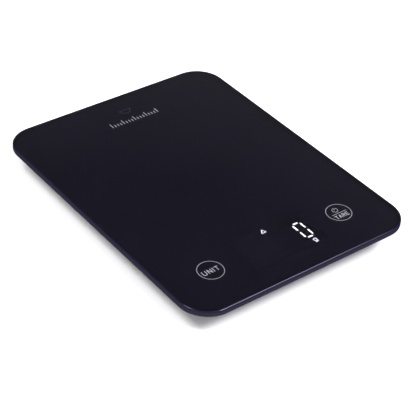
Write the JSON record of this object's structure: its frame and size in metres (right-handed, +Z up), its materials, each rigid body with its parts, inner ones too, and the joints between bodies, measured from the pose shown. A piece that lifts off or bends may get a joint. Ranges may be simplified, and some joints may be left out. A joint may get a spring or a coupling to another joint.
{
  "type": "kitchen scale",
  "caption": "Slim glass-topped digital kitchen scale with touch keys, hidden display, sliding battery door and sensing feet.",
  "frame": {"origin": "on the table under the middle of the glass platform", "axes": "+Z up, +Y away from the person reading the display, +X to their right"},
  "size_m": [0.176, 0.23, 0.02],
  "materials": {
    "tempered_glass": "clear 4 mm tempered soda-lime glass, ground and polished rim",
    "black_back_print": "opaque black ceramic ink fired on the underside of the glass",
    "smoke_filter": "dark translucent ink window over the display",
    "grey_ink": "light grey screen-printed ink",
    "dim_ink": "dark grey screen-printed ink",
    "foam_tape": "black acrylic foam tape",
    "housing_plastic": "black ABS with a fine spark-eroded grain",
    "screw_steel": "zinc-plated steel",
    "sensor_steel": "nickel-plated stamped spring steel",
    "gauge_sealant": "white silicone sealant over the foil gauge",
    "foot_plastic": "black ABS",
    "pad_rubber": "dark grey non-slip rubber",
    "display_plastic": "moulded display body with a dark face",
    "lit_diffuser": "white translucent epoxy lit by white diodes",
    "unlit_diffuser": "white translucent epoxy, unlit",
    "circuit_board": "green solder mask on glass-epoxy laminate",
    "chip_epoxy": "black moulded epoxy",
    "capacitor_can": "aluminium can",
    "socket_nylon": "natural white nylon",
    "copper_foil": "bare copper foil",
    "battery_jacket": "plain printed jacket over a steel can",
    "plated_steel": "nickel-plated spring steel",
    "lead_grey": "grey PVC insulation",
    "lead_red": "red PVC insulation",
    "lead_black": "black PVC insulation"
  },
  "bodies": {
    "platform": {"glass_platform": "tempered_glass", "back_print": "black_back_print", "display_filter": "smoke_filter", "unit_key_legend": "grey_ink", "tare_key_legend": "grey_ink", "graduation_mark": "grey_ink", "bowl_mark": "dim_ink", "bonding_tape": "foam_tape", "upper_shell": "housing_plastic", "bottom_cover": "housing_plastic", "cover_screws": "screw_steel", "board_screws": "screw_steel", "load_cell_front_left": "sensor_steel", "strain_gauge_front_left": "gauge_sealant", "foot_cup_front_left": "foot_plastic", "foot_pad_front_left": "pad_rubber", "load_cell_front_right": "sensor_steel", "strain_gauge_front_right": "gauge_sealant", "foot_cup_front_right": "foot_plastic", "foot_pad_front_right": "pad_rubber", "load_cell_rear_left": "sensor_steel", "strain_gauge_rear_left": "gauge_sealant", "foot_cup_rear_left": "foot_plastic", "foot_pad_rear_left": "pad_rubber", "load_cell_rear_right": "sensor_steel", "strain_gauge_rear_right": "gauge_sealant", "foot_cup_rear_right": "foot_plastic", "foot_pad_rear_right": "pad_rubber", "display_body": "display_plastic", "display_bars_lit": "lit_diffuser", "display_bars_unlit": "unlit_diffuser", "main_board": "circuit_board", "processor_chip": "chip_epoxy", "converter_chip": "chip_epoxy", "capacitors": "capacitor_can", "lead_sockets": "socket_nylon", "unit_electrode": "copper_foil", "tare_electrode": "copper_foil", "battery_front": "battery_jacket", "battery_rear": "battery_jacket", "positive_contact": "plated_steel", "negative_contact": "plated_steel", "bridge_contact": "plated_steel", "bridge_spring": "plated_steel", "negative_spring": "plated_steel", "sensor_lead_front_left": "lead_grey", "sensor_lead_front_right": "lead_grey", "sensor_lead_rear_left": "lead_grey", "sensor_lead_rear_right": "lead_grey", "positive_lead": "lead_red", "negative_lead": "lead_black"},
    "battery_door": {"battery_door": "housing_plastic"}
  },
  "joints": [
    {"name": "door_slide", "type": "slide", "parent": "platform", "child": "battery_door", "axis": [0, 1, 0], "range_m": [0, 0.03]}
  ]
}
